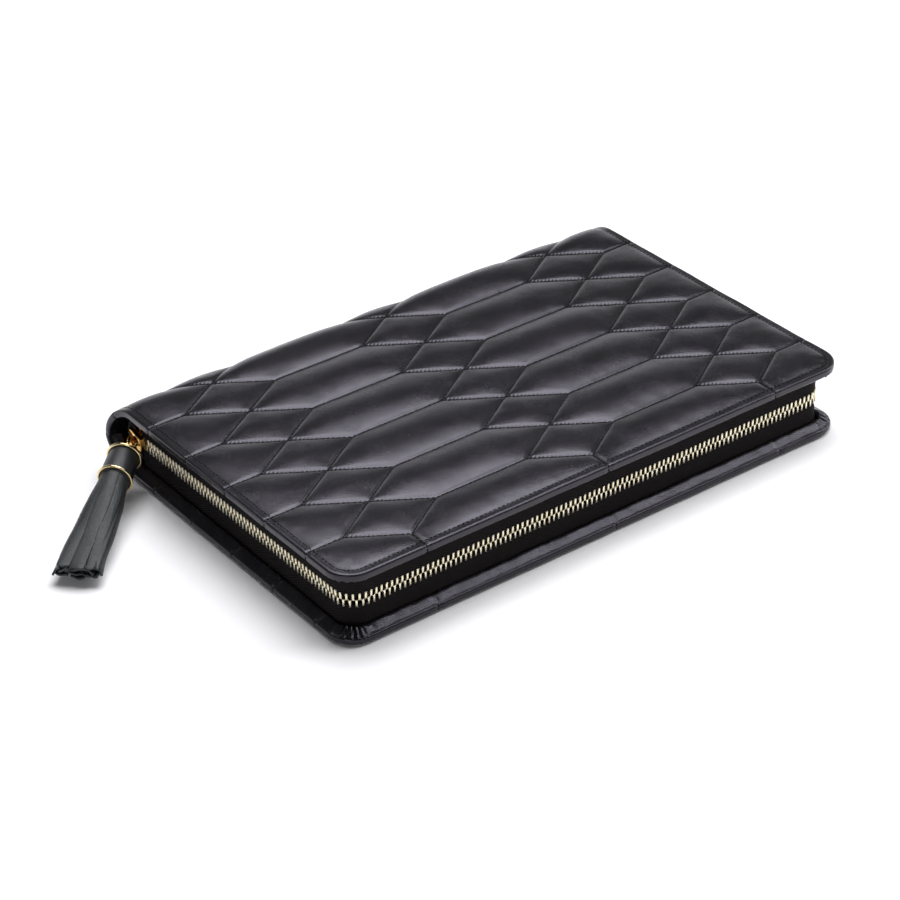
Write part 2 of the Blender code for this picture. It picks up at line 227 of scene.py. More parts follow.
def makeCamera(c):
    data = bpy.data.cameras.new("camera")
    data.lens = c["lens"]
    data.sensor_width = 36
    data.clip_start = 0.05
    data.clip_end = 50
    made = bpy.data.objects.new("camera", data)
    bpy.context.scene.collection.objects.link(made)
    a, e, r = (math.radians(c[k]) for k in ("azimuth", "elevation", "roll"))
    back = Vector((math.sin(a) * math.cos(e), -math.cos(a) * math.cos(e), math.sin(e)))
    right = Vector((math.cos(a), math.sin(a), 0))
    up = back.cross(right)
    turnedRight = right * math.cos(r) + up * math.sin(r)
    turnedUp = up * math.cos(r) - right * math.sin(r)
    axes = Matrix((turnedRight, turnedUp, back)).transposed().to_4x4()
    made.matrix_world = Matrix.Translation(c["place"]) @ axes
    bpy.context.scene.camera = made


studio = {
    "floorSize": 12.0,
    "floorColour": "#fbfbfb",
    "backdrop": 1.25,         # brightness of the white backdrop behind the object
    "nearSide": 0.55,         # and of the room on the camera's side
    "ceiling": 0.08,
    "lookAlong": (0.587, 0.810, 0),
    "skyColour": "#fafaff",
    "lightColour": "#fdfcff",   # a touch cool, which the black leather takes up
    # each light: place, what it points at, width, height, watts
    "overhead": ((0.16, 0.22, 1.05), (0, 0, 0), 0.95, 0.80, 15.5),
    "side": ((1.25, -0.35, 0.75), (0, 0, 0.02), 0.6, 0.6, 7.0),
    "front": ((-0.75, -0.55, 0.30), (-0.13, 0.06, 0.02), 0.25, 0.25, 0.5),
    "edge": ((0.62, -0.36, 1.0), (0, -0.08, 0), 0.4, 0.4, 2.6),
}


def makeStudio(s):
    bm = bmesh.new()
    bmesh.ops.create_grid(bm, x_segments=8, y_segments=8, size=s["floorSize"] / 2)
    # painted paper: matt, white, with a very faint unevenness
    paper, tree, shader = startMaterial("matt white studio paper", 0.9)
    place = addNode(tree, "ShaderNodeTexCoord")
    cloud = addNode(tree, "ShaderNodeTexNoise", inputs={"Vector": place.outputs["Object"], "Scale": 2.0})
    tint = addNode(tree, "ShaderNodeValToRGB", inputs={"Fac": cloud.outputs["Fac"]})
    rampStops(tint, [(0.3, "#f8f8f9"), (0.7, s["floorColour"])])
    linkShader(tree, shader, Base_Color=tint.outputs["Color"])
    floor = addPiece("studio_floor", bm, paper)
    for name in ("overhead", "side", "front", "edge"):
        place, target, width, depth, watts = s[name]
        data = bpy.data.lights.new(name, "AREA")
        data.shape = "RECTANGLE"
        data.size = width
        data.size_y = depth
        data.energy = watts
        data.color = toLinear(s["lightColour"])[:3]
        light = bpy.data.objects.new(name, data)
        bpy.context.scene.collection.objects.link(light)
        light.location = place
        light.rotation_euler = (Vector(target) - Vector(place)).to_track_quat("-Z", "Y").to_euler()
    world = bpy.data.worlds.new("white studio")
    bpy.context.scene.world = world
    world.use_nodes = True
    tree = world.node_tree
    ray = addNode(tree, "ShaderNodeTexCoord").outputs["Generated"]
    height = addNode(tree, "ShaderNodeSeparateXYZ", inputs={0: ray}).outputs["Z"]
    behind = addNode(tree, "ShaderNodeVectorMath", {"operation": "DOT_PRODUCT"}, {0: ray, 1: s["lookAlong"]})
    horizon = addNode(tree, "ShaderNodeMapRange", {"interpolation_type": "SMOOTHSTEP"}, {
        "Value": behind.outputs["Value"], "From Min": -0.2, "From Max": 0.6,
        "To Min": s["nearSide"], "To Max": s["backdrop"]})
    rise = addNode(tree, "ShaderNodeMapRange", {"interpolation_type": "SMOOTHSTEP"}, {
        "Value": height, "From Min": 0.12, "From Max": 0.46,
        "To Min": horizon.outputs["Result"], "To Max": s["ceiling"]})
    tree.nodes["Background"].inputs["Color"].default_value = toLinear(s["skyColour"])
    tree.links.new(rise.outputs["Result"], tree.nodes["Background"].inputs["Strength"])
    bpy.context.scene.view_settings.view_transform = "Standard"


makeCamera(camera)
makeStudio(studio)
print("camera and studio made")


# materials

def makeLeather(name, spec, coordinate="UV"):
    # calf leather with a printed grain of small pebbles; the colour is darkened in the hollows between the
    # pebbles, which is painted shade
    made, tree, shader = startMaterial(name, spec["roughness"], Specular_IOR_Level=0.5)
    shader.inputs["Specular Tint"].default_value = toLinear(spec["sheen"])
    place = addNode(tree, "ShaderNodeTexCoord").outputs[coordinate]
    warp = addNode(tree, "ShaderNodeTexNoise", inputs={
        "Vector": place, "Scale": 1 / (2.2 * mm), "Detail": 1.0})
    moved = addNode(tree, "ShaderNodeVectorMath", {"operation": "MULTIPLY_ADD"}, {
        0: warp.outputs["Color"], 1: (0.5 * mm, 0.5 * mm, 0.5 * mm), 2: place})
    pebble = addNode(tree, "ShaderNodeTexVoronoi", {"feature": "DISTANCE_TO_EDGE"}, {
        "Vector": moved.outputs[0], "Scale": 1 / (spec["grain"] * mm)})
    crease = addNode(tree, "ShaderNodeMapRange", inputs={
        "Value": pebble.outputs["Distance"], "From Min": 0.0, "From Max": 0.28})
    pore = addNode(tree, "ShaderNodeTexNoise", inputs={
        "Vector": place, "Scale": 1 / (0.35 * mm), "Detail": 2.0})
    relief = addNode(tree, "ShaderNodeMath", {"operation": "MULTIPLY_ADD"}, {
        0: pore.outputs["Fac"], 1: 0.35, 2: crease.outputs["Result"]})
    wear = addNode(tree, "ShaderNodeTexNoise", inputs={
        "Vector": place, "Scale": 1 / (14 * mm), "Detail": 3.0})
    tint = addNode(tree, "ShaderNodeValToRGB", inputs={"Fac": wear.outputs["Fac"]})
    rampStops(tint, [(0.3, spec["dark"]), (0.7, spec["light"])])
    # painted shade: the colour falls to 0.55 of its tone in the hollows between the pebbles
    shade = addNode(tree, "ShaderNodeMapRange", inputs={
        "Value": crease.outputs["Result"], "To Min": 0.55, "To Max": 1.0})
    colour = addNode(tree, "ShaderNodeVectorMath", {"operation": "SCALE"}, {
        0: tint.outputs["Color"], "Scale": shade.outputs["Result"]})
    gloss = addNode(tree, "ShaderNodeMapRange", inputs={
        "Value": wear.outputs["Fac"], "From Min": 0.3, "From Max": 0.7,
        "To Min": spec["roughness"] - 0.025, "To Max": spec["roughness"] + 0.025})
    bump = addNode(tree, "ShaderNodeBump", inputs={
        "Strength": spec["bump"], "Distance": 0.12 * mm, "Height": relief.outputs[0]})
    linkShader(tree, shader, Base_Color=colour.outputs[0], Roughness=gloss.outputs["Result"],
               Normal=bump.outputs["Normal"])
    return made


def makeSuede(name, dark, light, nap, coordinate="Object"):
    # brushed microfibre suede: a short nap that lies in soft patches and lightens at grazing angles
    made, tree, shader = startMaterial(name, 0.95, Sheen_Weight=0.35, Sheen_Roughness=0.45)
    shader.inputs["Sheen Tint"].default_value = toLinear("#8d8a90")
    place = addNode(tree, "ShaderNodeTexCoord").outputs[coordinate]
    patch = addNode(tree, "ShaderNodeTexNoise", inputs={
        "Vector": place, "Scale": 1 / (9 * mm), "Detail": 4.0})
    fibre = addNode(tree, "ShaderNodeTexNoise", inputs={
        "Vector": place, "Scale": 1 / (nap * mm), "Detail": 3.0})
    both = addNode(tree, "ShaderNodeMath", {"operation": "MULTIPLY_ADD"}, {
        0: fibre.outputs["Fac"], 1: 0.5, 2: patch.outputs["Fac"]})
    tint = addNode(tree, "ShaderNodeValToRGB", inputs={"Fac": both.outputs[0]})
    rampStops(tint, [(0.45, dark), (0.95, light)])
    bump = addNode(tree, "ShaderNodeBump", inputs={
        "Strength": 0.5, "Distance": 0.15 * mm, "Height": fibre.outputs["Fac"]})
    linkShader(tree, shader, Base_Color=tint.outputs["Color"], Normal=bump.outputs["Normal"])
    return made


def makeGold(name, colour, roughness, scratch):
    # electroplated brass: a warm mirror with hair-fine polishing marks and a slightly duller cast in patches
    made, tree, shader = startMaterial(name, roughness, metallic=1.0)
    place = addNode(tree, "ShaderNodeTexCoord").outputs["Object"]
    stretch = addNode(tree, "ShaderNodeMapping", inputs={"Vector": place, "Scale": (1.0, 1.0, 6.0)})
    hair = addNode(tree, "ShaderNodeTexNoise", inputs={
        "Vector": stretch.outputs["Vector"], "Scale": 1 / (0.8 * mm), "Detail": 4.0})
    cast = addNode(tree, "ShaderNodeTexNoise", inputs={
        "Vector": place, "Scale": 1 / (3 * mm), "Detail": 2.0})
    tint = addNode(tree, "ShaderNodeValToRGB", inputs={"Fac": cast.outputs["Fac"]})
    rampStops(tint, [(0.35, colour[0]), (0.65, colour[1])])
    gloss = addNode(tree, "ShaderNodeMapRange", inputs={
        "Value": hair.outputs["Fac"], "From Min": 0.3, "From Max": 0.7,
        "To Min": roughness * 0.8, "To Max": roughness * 1.3})
    bump = addNode(tree, "ShaderNodeBump", inputs={
        "Strength": scratch, "Distance": 0.02 * mm, "Height": hair.outputs["Fac"]})
    linkShader(tree, shader, Base_Color=tint.outputs["Color"], Roughness=gloss.outputs["Result"],
               Normal=bump.outputs["Normal"])
    return made


def makeThread(name, dark, light):
    # bonded polyester thread: a two-ply twist, dull black
    made, tree, shader = startMaterial(name, 0.8, Specular_IOR_Level=0.2)
    place = addNode(tree, "ShaderNodeTexCoord").outputs["Object"]
    ply = addNode(tree, "ShaderNodeTexNoise", inputs={"Vector": place, "Scale": 1 / (0.5 * mm)})
    tint = addNode(tree, "ShaderNodeValToRGB", inputs={"Fac": ply.outputs["Fac"]})
    rampStops(tint, [(0.35, dark), (0.65, light)])
    linkShader(tree, shader, Base_Color=tint.outputs["Color"])
    return made


def makeTwill(name, dark, light, spacing):
    # woven polyester zip tape: fine diagonal ribs, dull; the colour is painted lighter along each rib as a
    # lustre and darker between the ribs as shade
    made, tree, shader = startMaterial(name, 0.9, Specular_IOR_Level=0.15)
    place = addNode(tree, "ShaderNodeTexCoord").outputs["UV"]
    turned = addNode(tree, "ShaderNodeMapping", inputs={
        "Vector": place, "Rotation": (0, 0, math.radians(-28))})
    # a wave texture repeats every pi / 10 of a unit at a scale of 1, so the scale carries that length
    rib = addNode(tree, "ShaderNodeTexWave", {"bands_direction": "Y"}, {
        "Vector": turned.outputs["Vector"], "Scale": math.pi / 10 / (spacing * mm),
        "Distortion": 0.6, "Detail": 1.0, "Detail Scale": 2.0})
    yarn = addNode(tree, "ShaderNodeTexNoise", inputs={
        "Vector": place, "Scale": 1 / (0.5 * mm), "Detail": 2.0})
    both = addNode(tree, "ShaderNodeMath", {"operation": "MULTIPLY_ADD"}, {
        0: yarn.outputs["Fac"], 1: 0.4, 2: rib.outputs["Fac"]})
    # painted light: the ribs' colour is lighter on their crests, a painted lustre, and darker between them,
    # painted shade; the yarn noise adds a random tone
    tint = addNode(tree, "ShaderNodeValToRGB", inputs={"Fac": both.outputs[0]})
    rampStops(tint, [(0.25, dark), (1.0, light)])
    bump = addNode(tree, "ShaderNodeBump", inputs={
        "Strength": 0.5, "Distance": 0.2 * mm, "Height": both.outputs[0]})
    linkShader(tree, shader, Base_Color=tint.outputs["Color"], Normal=bump.outputs["Normal"])
    return made


caseLeather = makeLeather("quilted black calf leather", {
    "grain": 0.9, "dark": "#100f11", "light": "#171619", "roughness": 0.26, "bump": 0.2,
    "sheen": "#f3efff"})
liningSuede = makeSuede("black microfibre suede lining", "#1b191b", "#2a2729", 0.6, "UV")
threadBlack = makeThread("black bonded thread", "#070607", "#111012")
print("materials made")


# the quilted covers: one padded skin for the lid and half the spine, one for the base and the other half

cover = {
    "halfWidth": 130.0,       # outline, mm
    "front": -82.4,
    "cornerRadius": 12.0,
    "edgeRadius": 1.0,
    "turnIn": 6.5,            # leather turned in behind the edge
    "spineY": 72.9,           # where the flat ends and the half-round spine begins
    "spineRadius": 17.1,
    "spineLength": 27.55,     # sheet used by a quarter of the round
    "column": 22.5 / 16,      # lattice steps of the quilting, so that every stitch line meets grid points
    "row": 14.35 / 16,
    "groove": -0.40,
    "puff": 0.85,             # below 1 makes the puffs steep at the stitches and flat on top
    "flare": 3.0,             # how far the ends of the spine spread sideways
    "flareFrom": (104, 131),
    "shiftX": 4.5,            # how far the base's pattern lies from the lid's at the front
    "shiftY": -4.0,
    "shiftSides": (108, 126),  # the shift fades out to the sides and to the front edge
    "shiftFront": (-82, -56),
}
# each skin: height of its stitched face, thickness, rise of the puffs, climb of the turned-in margin
lidSkin = {"surface": 33.8, "thickness": 3.7, "rise": 2.5, "margin": 0.0, "upper": True, "seed": 1.0,
           "marginWrinkle": 0.16}
baseSkin = {"surface": 33.3, "thickness": 3.0, "rise": 0.85, "margin": 2.7, "upper": False, "seed": 7.0,
            "marginWrinkle": 0.26}
# unevenness of the leather: how far it moves, and the size of its lumps, mm
wrinkles = {
    "stuffing": (0.12, 26),      # a share of the puff's height
    "stitch": (0.10, 5.5),       # small wrinkles, strongest beside the stitches
    "marginSize": 3.2,
    "edge": (0.22, 17),
    "pleat": (0.5, 30),          # gathers round the corners: depth, and how closely they stand
    "climbEnd": 4.4,             # the margin climbs this far, then dips behind the tape's foot
    "dipEnd": 5.4,
    "dip": 1.15,
}


def coverPlace(u, v, lift, skin):
    # from the flat sheet (u across, v from front to back, mm) to its place round the edge and over the spine
    c = cover
    u, v, lift = (np.asarray(x, float) for x in np.broadcast_arrays(u, v, lift))
    if not skin["upper"]:
        # the two covers were quilted apart, so their patterns don't quite meet
        ahead = smoothStep(v, 60, -60)
        u = u + c["shiftX"] * ahead * (1 - smoothStep(np.abs(u), *c["shiftSides"]))
        v = v + c["shiftY"] * ahead * smoothStep(v, *c["shiftFront"])
    cornerX = c["halfWidth"] - c["cornerRadius"]
    cornerY = c["front"] + c["cornerRadius"]
    a = np.maximum(np.abs(u) - cornerX, 0)
    b = np.maximum(cornerY - v, 0)
    rho = np.maximum(a, b)
    safe = np.maximum(rho, 1e-9)
    angle = np.where(a >= b, math.pi / 4 * b / safe, math.pi / 2 - math.pi / 4 * a / safe)
    r = c["edgeRadius"]
    backness = smoothStep(v, c["spineY"] - 6, c["spineY"] + c["spineLength"])
    t = skin["thickness"] - 0.6 * backness
    s = rho - (c["cornerRadius"] - r)
    quarter = r * math.pi / 2
    s1, s2, s3 = quarter, quarter + t - 2 * r, 2 * quarter + t - 2 * r
    top = np.clip(s / r, 0, math.pi / 2)
    bottom = np.clip((s - s2) / r, 0, math.pi / 2)
    out = r * np.sin(top) - r * (1 - np.cos(bottom)) - np.maximum(s - s3, 0)
    drop = r * (1 - np.cos(top)) + np.clip(s - s1, 0, s2 - s1) + r * np.sin(bottom)
    outward = np.where(s < s1, np.sin(top), np.cos(bottom))
    upward = np.where(s < s1, np.cos(top), -np.sin(bottom))
    reach = np.minimum(rho, c["cornerRadius"] - r) + out + lift * outward
    drop = drop - lift * upward
    x = np.sign(u) * (np.minimum(np.abs(u), cornerX) + reach * np.cos(angle))
    flatY = np.maximum(v, cornerY) - reach * np.sin(angle)
    turn = np.clip((flatY - c["spineY"]) / c["spineLength"], 0, 1) * math.pi / 2
    spread = smoothStep(turn, 0, math.pi / 2) * smoothStep(np.abs(u), *c["flareFrom"])
    x = x + np.sign(u) * c["flare"] * spread
    radiusZ = skin["surface"] - c["spineRadius"]
    y = np.where(turn > 0, c["spineY"] + (c["spineRadius"] - drop) * np.sin(turn), flatY)
    z = c["spineRadius"] + (radiusZ - drop) * np.cos(turn)
    if not skin["upper"]:
        z = 2 * c["spineRadius"] - z
    return np.stack([x, y, z], -1)


def coverSteps(skin):
    # columns and rows: quilting lattice in the middle, fine steps round the edge, then the turn-in
    c = cover
    quarter = math.pi / 2 * c["edgeRadius"]
    side = skin["thickness"] - 2 * c["edgeRadius"]
    around = [quarter * k / 4 for k in range(5)]
    around += [quarter + side * k / 4 for k in range(1, 5)]
    around += [quarter + side + quarter * k / 4 for k in range(1, 5)]
    around += [2 * quarter + side + c["turnIn"] * k / 7 for k in range(1, 8)]
    outer = np.array([c["halfWidth"] - c["edgeRadius"] + s for s in around])
    regular = np.arange(-91, 92) * c["column"]
    us = np.concatenate([-outer[::-1], regular, outer])
    front = np.array([c["front"] + c["edgeRadius"] - s for s in around])
    vs = np.concatenate([front[::-1], np.arange(-90, 113) * c["row"]])
    return us, vs


def stitchSegments():
    # every straight run of quilting, as lattice points (column, row) from start to end
    runs = []
    for k in range(-2, 4):
        for side in (-1, 1):
            runs.append(((side * 16, 32 * k), (side * 48, 32 * k)))
            runs.append(((side * 80, 32 * k), (side * 90, 32 * k)))
    for i in (-64, 0, 64):
        for k in range(-3, 4):
            j = 16 + 32 * k
            for side in (-1, 1):
                if k < 3:
                    runs.append(((i, j), (i + side * 16, j + 16)))
                if k > -3:
                    runs.append(((i, j), (i + side * 16, j - 16)))
        runs.append(((i, -80), (i, -88)))
    return runs


def quiltHeights(us, vs, skin):
    # relaxes a sheet that is held along the stitches and pushed up between them
    c = cover
    iu = np.round(us / c["column"]).astype(int)
    jv = np.round(vs / c["row"]).astype(int)
    regularU = np.abs(us - iu * c["column"]) < 1e-6
    regularV = np.abs(vs - jv * c["row"]) < 1e-6
    stitched = np.zeros((len(us), len(vs)), bool)
    whereU = {i: n for n, i in enumerate(iu) if regularU[n]}
    whereV = {j: n for n, j in enumerate(jv) if regularV[n]}
    for (i0, j0), (i1, j1) in stitchSegments():
        steps = max(abs(i1 - i0), abs(j1 - j0))
        for k in range(steps + 1):
            i = round(i0 + (i1 - i0) * k / steps)
            j = round(j0 + (j1 - j0) * k / steps)
            stitched[whereU[i], whereV[j]] = True
    # the runs carry on over the edge of the cover
    for k in range(-2, 4):
        stitched[np.abs(us) > 90 * c["column"] - 0.01, whereV[32 * k]] = True
    for i in (-64, 0, 64):
        stitched[whereU[i], vs < -88 * c["row"] + 0.01] = True
    border = np.zeros_like(stitched)
    border[np.abs(us) > 90 * c["column"] - 0.01, :] = True
    border[:, vs < -88 * c["row"] + 0.01] = True
    held = stitched | border
    h = np.zeros(held.shape)
    free = ~held
    sx, sy = 1 / c["column"] ** 2, 1 / c["row"] ** 2
    for _ in range(1500):
        padded = np.pad(h, ((1, 1), (1, 1)), mode="edge")
        padded[1:-1, -1] = h[:, -2]
        total = sx * (padded[:-2, 1:-1] + padded[2:, 1:-1]) + sy * (padded[1:-1, :-2] + padded[1:-1, 2:])
        h = np.where(free, (total + 1.0) / (2 * sx + 2 * sy), 0)
    h = (h / h.max()) ** c["puff"] * skin["rise"]
    return h, stitched, border


def makeCover(name, skin):
    c, w = cover, wrinkles
    us, vs = coverSteps(skin)
    h, stitched, border = quiltHeights(us, vs, skin)
    edge = c["halfWidth"] - c["edgeRadius"]

    def place(u, v, column, row):
        lift = h[column, row].copy()
        flat = np.stack([u, v, np.zeros_like(u)], -1)
        full = smoothStep(lift, 0, skin["rise"])
        depth, size = w["stuffing"]
        lift *= 1 + depth * softNoise(flat, size, skin["seed"])
        depth, size = w["stitch"]
        lift += depth * softNoise(flat, size, skin["seed"] + 1) * (1 - 0.6 * full) * (lift > 0)
        over = np.maximum(np.abs(u) - edge, c["front"] + c["edgeRadius"] - v)
        wrinkle = softNoise(flat, w["marginSize"], skin["seed"] + 2)
        lift += skin["marginWrinkle"] * wrinkle * smoothStep(over, 4.0, 6.0)
        # the base's margin climbs from its edge to the foot of the tape, then dips behind it
        behind = over - (skin["thickness"] - 2 * c["edgeRadius"] + math.pi * c["edgeRadius"])
        dip = w["dip"] * smoothStep(behind, w["climbEnd"], w["dipEnd"])
        climb = skin["margin"] * (np.clip(behind / w["climbEnd"], 0, 1) - dip)
        lift += climb
        depth, size = w["edge"]
        lift += depth * softNoise(flat, size, skin["seed"] + 3) * smoothStep(over, -1, 1)
        # pleats where the turn-in is gathered round the corners
        a = np.maximum(np.abs(u) - (c["halfWidth"] - c["cornerRadius"]), 0)
        b = np.maximum(c["front"] + c["cornerRadius"] - v, 0)
        angle = np.arctan2(b, np.maximum(a, 1e-9))
        inCorner = (a > 0) & (b > 0)
        depth, pace = w["pleat"]
        lift += np.where(inCorner, depth * np.cos(angle * pace) * smoothStep(over, 3.0, 5.5), 0)
        lift = np.where(stitched[column, row], climb + c["groove"], lift)
        return coverPlace(u, v, lift, skin)

    bm, column, row = mappedGrid(us, vs, place)
    bm.verts.ensure_lookup_table()
    # split the squares along the slanting runs, so that each run is a clean crease
    onRun = [v for v in bm.verts if stitched[column[v.index], row[v.index]]]
    bmesh.ops.connect_verts(bm, verts=onRun)
    # close the skin behind: across from side to side, then the two ends
    left = [e for e in bm.edges if e.is_boundary and all(column[v.index] == 0 for v in e.verts)]
    right = [e for e in bm.edges if e.is_boundary and all(column[v.index] == len(us) - 1 for v in e.verts)]
    bmesh.ops.bridge_loops(bm, edges=left + right)
    bmesh.ops.holes_fill(bm, edges=[e for e in bm.edges if e.is_boundary])
    bmesh.ops.recalc_face_normals(bm, faces=bm.faces)
    return addPiece(name, bm, caseLeather)


def skinBlend(piece, skin):
    # the flat panel and the spine are two bodies; here the piece's transform is only baked into its mesh, the
    # same for both skins, and the skin is not bent between them
    if skin["upper"]:
        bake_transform(piece)
    else:
        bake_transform(piece)


lidCover = makeCover("lid_quilted_cover", lidSkin)
skinBlend(lidCover, lidSkin)
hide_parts("lid_leather", "spine_leather", "spine_wadding")
baseCover = makeCover("base_quilted_cover", baseSkin)
skinBlend(baseCover, baseSkin)
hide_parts("base_leather")
print("quilted covers made")


# quilting thread

thread = {
    "pitch": 2.2,
    "length": 1.75,
    "width": 0.46,
    "height": 0.40,
    "sink": 0.02,
    "edgeInset": 3.44,       # the edge seam, measured along the leather from its edge
    "over": 6.5,             # how far the quilting runs on over the edge
}


def surfaceFrame(u, v, lift, direction, skin):
    # a point of the cover with its run direction and its outward normal
    d = np.array(direction, float) / np.hypot(*direction) * 0.2
    points = coverPlace([u, u - d[0], u + d[0], u], [v, v - d[1], v + d[1], v],
                        [lift, lift, lift, lift + 0.3], skin)
    along = Vector(points[2] - points[1]).normalized()
    out = Vector(points[3] - points[0]).normalized()
    return Vector(points[0]) * mm, along, out


def addStitches(bm, start, end, lift, skin):
    length = math.dist(start, end)
    count = max(1, round(length / thread["pitch"]))
    direction = (end[0] - start[0], end[1] - start[1])
    for k in range(count):
        t = (k + 0.5) / count
        u, v = (start[n] + (end[n] - start[n]) * t for n in (0, 1))
        place, along, out = surfaceFrame(u, v, lift, direction, skin)
        across = out.cross(along)
        size = Matrix.Diagonal((thread["length"] / 2, thread["width"] / 2, thread["height"] / 2, 1)) * mm
        size[3][3] = 1
        axes = Matrix((along, across, out)).transposed().to_4x4()
        bmesh.ops.create_icosphere(bm, subdivisions=1, radius=1,
                                   matrix=Matrix.Translation(place) @ axes @ size)


def makeThreads(name, skin):
    bm = bmesh.new()
    c = cover
    lift = c["groove"] + thread["height"] / 2 - thread["sink"]
    for start, end in stitchSegments():
        a = (start[0] * c["column"], start[1] * c["row"])
        b = (end[0] * c["column"], end[1] * c["row"])
        addStitches(bm, a, b, lift, skin)
    side = c["halfWidth"] - thread["edgeInset"]
    front = c["front"] + thread["edgeInset"]
    cornerX = c["halfWidth"] - c["cornerRadius"]
    cornerY = c["front"] + c["cornerRadius"]
    borderLift = thread["height"] * 0.15
    addStitches(bm, (-cornerX, front), (cornerX, front), borderLift, skin)
    for s in (-1, 1):
        addStitches(bm, (s * side, cornerY), (s * side, c["spineY"] + c["spineLength"] - 1), borderLift, skin)
        addStitches(bm, (s * side, cornerY), (s * side, front), borderLift, skin)
        addStitches(bm, (s * cornerX, front), (s * side, front), borderLift, skin)
        # the runs that go over the edge
        for k in range(-2, 4):
            v = 32 * k * c["row"]
            addStitches(bm, (s * side, v), (s * (side + thread["over"]), v), lift, skin)
    for i in (-64, 0, 64):
        u = i * c["column"]
        addStitches(bm, (u, front), (u, front - thread["over"]), lift, skin)
    return addPiece(name, bm, threadBlack)


for name, skin in (("lid_quilting_thread", lidSkin), ("base_quilting_thread", baseSkin)):
    stitches = makeThreads(name, skin)
    skinBlend(stitches, skin)
print("stitching made")


# the zip runs round three sides, halfway up
zipper = {
    "middle": 123.55,        # the tape's middle, from the centre
    "endY": 74.0,
    "frontY": -75.95,
    "bend": 8.55,            # corner radius
    "chainZ": 17.1,
    "chainEndY": 71.0,
    "pitch": 2.45,
    "barWidth": 0.84,
    "barDepth": 1.5,
    "barFoot": 3.15,         # foot of a tooth, from the meshing line
    "headWidth": 1.2,
    "tapeFoot": 12.45,       # foot of the tape, from the meshing line
    "tapeTall": 10.6,         # its head is held between the teeth
    "lean": 0.5,             # how far the foot of the tape leans outward
    "tapeWeave": 0.95,       # one rib of the twill, drawn about twice as coarse so that it shows
}
paleGold = makeGold("pale gold plated brass teeth", ("#e9dfc0", "#f6efd6"), 0.30, 0.2)
richGold = makeGold("polished gold plated zinc slider", ("#dba758", "#efc57c"), 0.12, 0.15)
ringGold = makeGold("polished pale gold plated wire", ("#dcc38a", "#ecdcae"), 0.14, 0.15)
tapeTwill = makeTwill("black twill zip tape", "#0a0808", "#1a1616", zipper["tapeWeave"])
zipStraight = zipper["endY"] - zipper["frontY"] - zipper["bend"]
zipArc = zipper["bend"] * math.pi / 2
zipLength = 2 * (zipStraight + zipArc + zipper["middle"] - zipper["bend"])


def zipPlace(s, out, z):
    # s runs along the zip from its left end, out is outside the tape's middle, z from the meshing line
    s, out, z = (np.asarray(x, float) for x in np.broadcast_arrays(s, out, z))
    near = zipLength / 2 - np.abs(s - zipLength / 2)
    turn = np.clip((near - zipStraight) / zipper["bend"], 0, math.pi / 2)
    past = np.maximum(near - zipStraight - zipArc, 0)
    centreX = zipper["middle"] - zipper["bend"]
    x = centreX + (zipper["bend"] + out) * np.cos(turn) - past
    y = zipper["endY"] - np.minimum(near, zipStraight) - (zipper["bend"] + out) * np.sin(turn)
    return np.stack([np.where(s < zipLength / 2, -x, x), y, zipper["chainZ"] + z], -1)


def makeTape(name, upper):
    side = 1 if upper else -1
    us = np.linspace(0, zipLength, 240)
    vs = np.linspace(0, zipper["tapeTall"], 12)

    def place(u, v, column, row):
        fall = 1 - v / zipper["tapeTall"]
        flat = np.stack([u, v, np.full_like(u, 5.0 * side)], -1)
        out = zipper["lean"] * fall ** 1.5 + 0.28 * softNoise(flat, 13, 2) * np.sin(fall * math.pi)
        return zipPlace(u, out, side * (zipper["tapeFoot"] - v))

    bm, column, row = mappedGrid(us, vs, place)
    if upper:
        bmesh.ops.reverse_faces(bm, faces=bm.faces)
    tape = addPiece(name, bm, tapeTwill)
    addModifier(tape, "SOLIDIFY", thickness=0.55 * mm, offset=0)
    return tape


def toothMesh(side):
    # a bar that clamps the tape's cord, with a wider head where the two rows mesh
    z = zipper
    bm = bmesh.new()
    bmesh.ops.create_cube(bm, size=1)
    neck = 0.45
    bmesh.ops.scale(bm, vec=(z["barWidth"], z["barDepth"], z["barFoot"] - neck), verts=bm.verts)
    bmesh.ops.translate(bm, vec=(0, 0, -(z["barFoot"] + neck) / 2), verts=bm.verts)
    for rise, wide, deep in ((0.12, z["headWidth"] / z["barWidth"], 0.85), (0.42, 0.92, 0.9)):
        top = max(bm.faces, key=lambda f: f.calc_center_median().z)
        head = bmesh.ops.extrude_discrete_faces(bm, faces=[top])["faces"][0]
        bmesh.ops.translate(bm, vec=(0, 0, rise), verts=head.verts)
        bmesh.ops.scale(bm, vec=(wide, deep, 1), verts=head.verts)
    bmesh.ops.bevel(bm, geom=bm.edges[:], offset=0.17, offset_type="OFFSET", affect="EDGES",
                    segments=1, profile=0.5, material=-1, clamp_overlap=True)
    bmesh.ops.scale(bm, vec=(mm, mm, side * -mm), verts=bm.verts)
    bmesh.ops.recalc_face_normals(bm, faces=bm.faces)
    return toMesh(bm)


def makeTeeth(name, upper):
    first = zipper["endY"] - zipper["chainEndY"] + zipper["pitch"] * (0.75 if upper else 0.25)
    stations = np.arange(first, zipLength - first, zipper["pitch"])
    matrices = []
    for a, b in zip(zipPlace(stations, 0, 0), zipPlace(stations + 0.1, 0, 0)):
        along = Vector(b - a).normalized()
        axes = Matrix((along, Vector((0, 0, 1)).cross(along), Vector((0, 0, 1)))).transposed().to_4x4()
        matrices.append(Matrix.Translation(Vector(a) * mm) @ axes)
    bm = bmesh.new()
    scatter(bm, toothMesh(1 if upper else -1), matrices)
    return addPiece(name, bm, paleGold, smoothAngle=50)


for upper, body in ((False, "base"), (True, "lid")):
    half = "upper" if upper else "lower"
    tape = makeTape("zip_tape_sheet_" + half, upper)
    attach(tape, body)
    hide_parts("zip_tape_" + half)
    chain = makeTeeth("zip_chain_" + half, upper)
    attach(chain, body)
    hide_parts("zip_teeth_" + half)
    for end in ("left", "right"):
        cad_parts["zip_stop_" + end + "_" + half].data.materials[0] = paleGold
print("zip tapes and teeth made")


